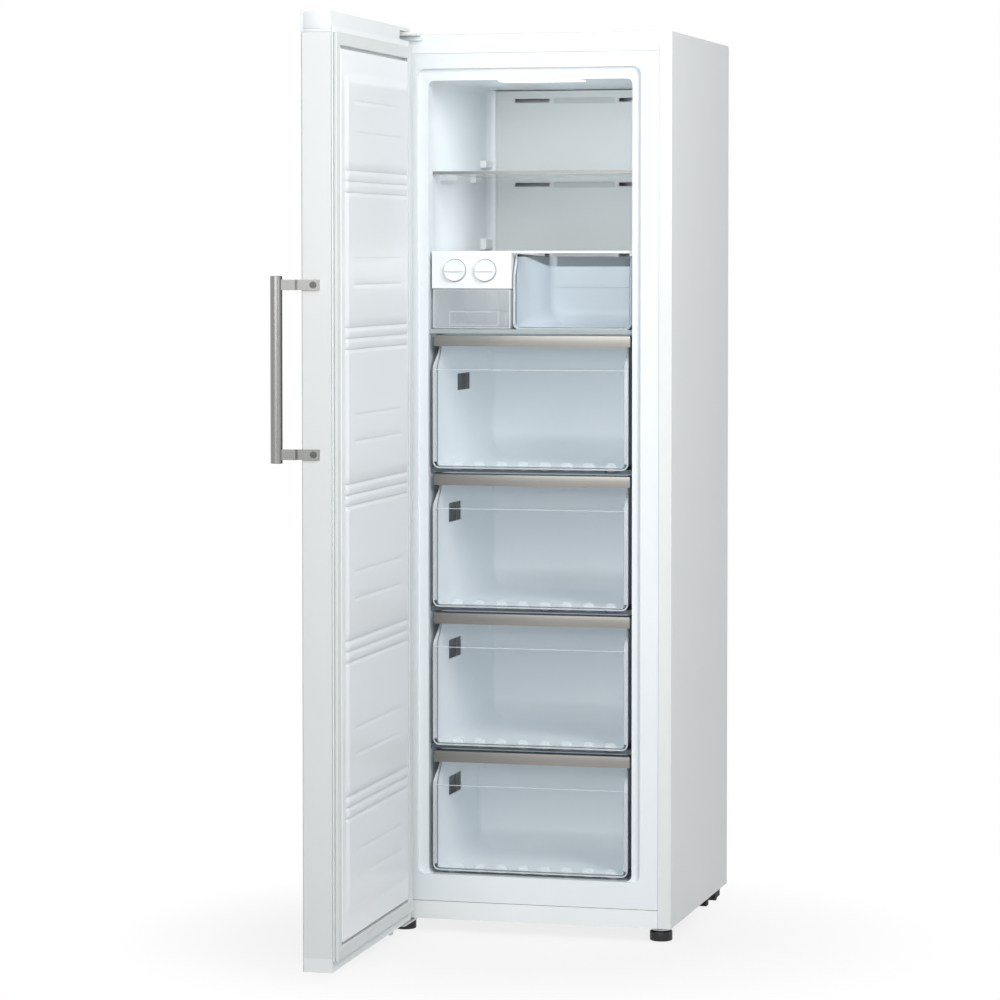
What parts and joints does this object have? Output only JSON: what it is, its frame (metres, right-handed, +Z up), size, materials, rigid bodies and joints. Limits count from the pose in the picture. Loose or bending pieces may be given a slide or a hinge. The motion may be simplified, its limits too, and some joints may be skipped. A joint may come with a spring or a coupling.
{
  "type": "upright freezer",
  "caption": "Tall upright freezer with a left-hung swinging door and bar handle, clear pull-out drawers, a glass shelf, and a twist-knob ice maker over its bucket.",
  "frame": {"origin": "on the floor, under the middle of the cabinet's front plane", "axes": "+X to the right as seen from the front, +Y to the rear, +Z up"},
  "size_m": [0.645, 1.2063, 1.853],
  "materials": {
    "white_enamel": "satin",
    "enamel_grey": "matte",
    "liner_white": "satin",
    "white_plastic": "satin",
    "foam": "matte",
    "bare_steel": "satin",
    "brushed_bar": "satin",
    "satin_trim": "satin",
    "clear_plastic": "gloss",
    "shelf_glass": "gloss",
    "grey_plastic": "satin",
    "black_plastic": "satin",
    "gasket_grey": "matte",
    "lamp_lens": "satin",
    "black_pot": "gloss",
    "rubber_black": "matte",
    "copper_pipe": "satin",
    "coil_metal": "satin",
    "heater_glass": "gloss"
  },
  "bodies": {
    "cabinet": {"cabinet_wrapper": "white_enamel", "inner_liner": "liner_white", "cabinet_foam": "foam", "back_panel": "enamel_grey", "base_frame": "enamel_grey", "top_cover": "white_plastic", "kick_strip": "white_plastic", "hinge_blank_cover": "white_plastic", "top_hinge": "bare_steel", "top_hinge_cover": "white_plastic", "bottom_hinge": "black_pot", "duct_panel": "liner_white", "evaporator": "coil_metal", "fan_motor": "bare_steel", "defrost_heater": "heater_glass", "lamp_cover": "lamp_lens", "compressor": "black_pot", "compressor_feet": "rubber_black", "refrigerant_pipes": "copper_pipe", "drain_tray": "black_plastic", "power_inlet": "black_plastic", "glass_shelf": "shelf_glass", "glass_shelf_trim": "white_plastic", "shelf_brackets": "white_plastic", "deck_shelf": "white_plastic", "divider_shelf_1": "grey_plastic", "divider_shelf_2": "grey_plastic", "divider_shelf_3": "grey_plastic", "ice_maker_housing": "white_plastic", "drawer_runners": "white_plastic", "roller_brackets": "black_plastic"},
    "door": {"door_skin": "white_enamel", "door_liner": "white_plastic", "door_foam": "foam", "door_gasket": "gasket_grey", "door_top_cap": "white_plastic", "door_bottom_cap": "white_plastic", "handle_bar": "brushed_bar", "handle_brackets": "bare_steel", "handle_screws": "bare_steel", "hinge_bushes": "grey_plastic"},
    "drawer_1": {"drawer_1": "clear_plastic", "drawer_1_trim": "satin_trim"},
    "drawer_2": {"drawer_2": "clear_plastic", "drawer_2_trim": "satin_trim"},
    "drawer_3": {"drawer_3": "clear_plastic", "drawer_3_trim": "satin_trim"},
    "drawer_4": {"drawer_4": "clear_plastic", "drawer_4_trim": "satin_trim"},
    "small_drawer": {"small_drawer": "clear_plastic"},
    "ice_bucket": {"ice_bucket": "clear_plastic"},
    "ice_twister_left": {"ice_knob_left": "white_plastic", "ice_tray_left": "white_plastic"},
    "ice_twister_right": {"ice_knob_right": "white_plastic", "ice_tray_right": "white_plastic"},
    "foot_left": {"foot_left": "black_plastic"},
    "foot_right": {"foot_right": "black_plastic"},
    "roller_left": {"roller_left": "black_plastic"},
    "roller_right": {"roller_right": "black_plastic"},
    "fan_rotor": {"fan_rotor": "black_plastic"}
  },
  "joints": [
    {"name": "door_hinge", "type": "hinge", "parent": "cabinet", "child": "door", "pos_m": [-0.2715, -0.0374, 1], "axis": [0, 0, -1], "range_deg": [-88.5, 20]},
    {"name": "drawer_1_slide", "type": "slide", "parent": "cabinet", "child": "drawer_1", "axis": [0, -1, 0], "range_m": [0, 0.36]},
    {"name": "drawer_2_slide", "type": "slide", "parent": "cabinet", "child": "drawer_2", "axis": [0, -1, 0], "range_m": [0, 0.36]},
    {"name": "drawer_3_slide", "type": "slide", "parent": "cabinet", "child": "drawer_3", "axis": [0, -1, 0], "range_m": [0, 0.36]},
    {"name": "drawer_4_slide", "type": "slide", "parent": "cabinet", "child": "drawer_4", "axis": [0, -1, 0], "range_m": [0, 0.26]},
    {"name": "small_drawer_slide", "type": "slide", "parent": "cabinet", "child": "small_drawer", "axis": [0, -1, 0], "range_m": [0, 0.25]},
    {"name": "ice_bucket_slide", "type": "slide", "parent": "cabinet", "child": "ice_bucket", "axis": [0, -1, 0], "range_m": [0, 0.2]},
    {"name": "ice_knob_left_turn", "type": "hinge", "parent": "cabinet", "child": "ice_twister_left", "pos_m": [-0.16, 0.0285, 1.361], "axis": [0, 1, 0], "range_deg": [0, 120], "stiffness_Nm_per_rad": 0.06},
    {"name": "ice_knob_right_turn", "type": "hinge", "parent": "cabinet", "child": "ice_twister_right", "pos_m": [-0.096, 0.0285, 1.361], "axis": [0, 1, 0], "range_deg": [0, 120], "stiffness_Nm_per_rad": 0.06},
    {"name": "foot_left_screw", "type": "hinge", "parent": "cabinet", "child": "foot_left", "pos_m": [-0.271, 0.033, 0.02], "axis": [0, 0, 1], "continuous": true},
    {"name": "foot_right_screw", "type": "hinge", "parent": "cabinet", "child": "foot_right", "pos_m": [0.271, 0.033, 0.02], "axis": [0, 0, 1], "continuous": true},
    {"name": "roller_left_spin", "type": "hinge", "parent": "cabinet", "child": "roller_left", "pos_m": [-0.2775, 0.518, 0.015], "axis": [1, 0, 0], "continuous": true},
    {"name": "roller_right_spin", "type": "hinge", "parent": "cabinet", "child": "roller_right", "pos_m": [0.2775, 0.518, 0.015], "axis": [1, 0, 0], "continuous": true},
    {"name": "fan_spin", "type": "hinge", "parent": "cabinet", "child": "fan_rotor", "pos_m": [0, 0.514, 1.44], "axis": [0, 1, 0], "continuous": true}
  ]
}
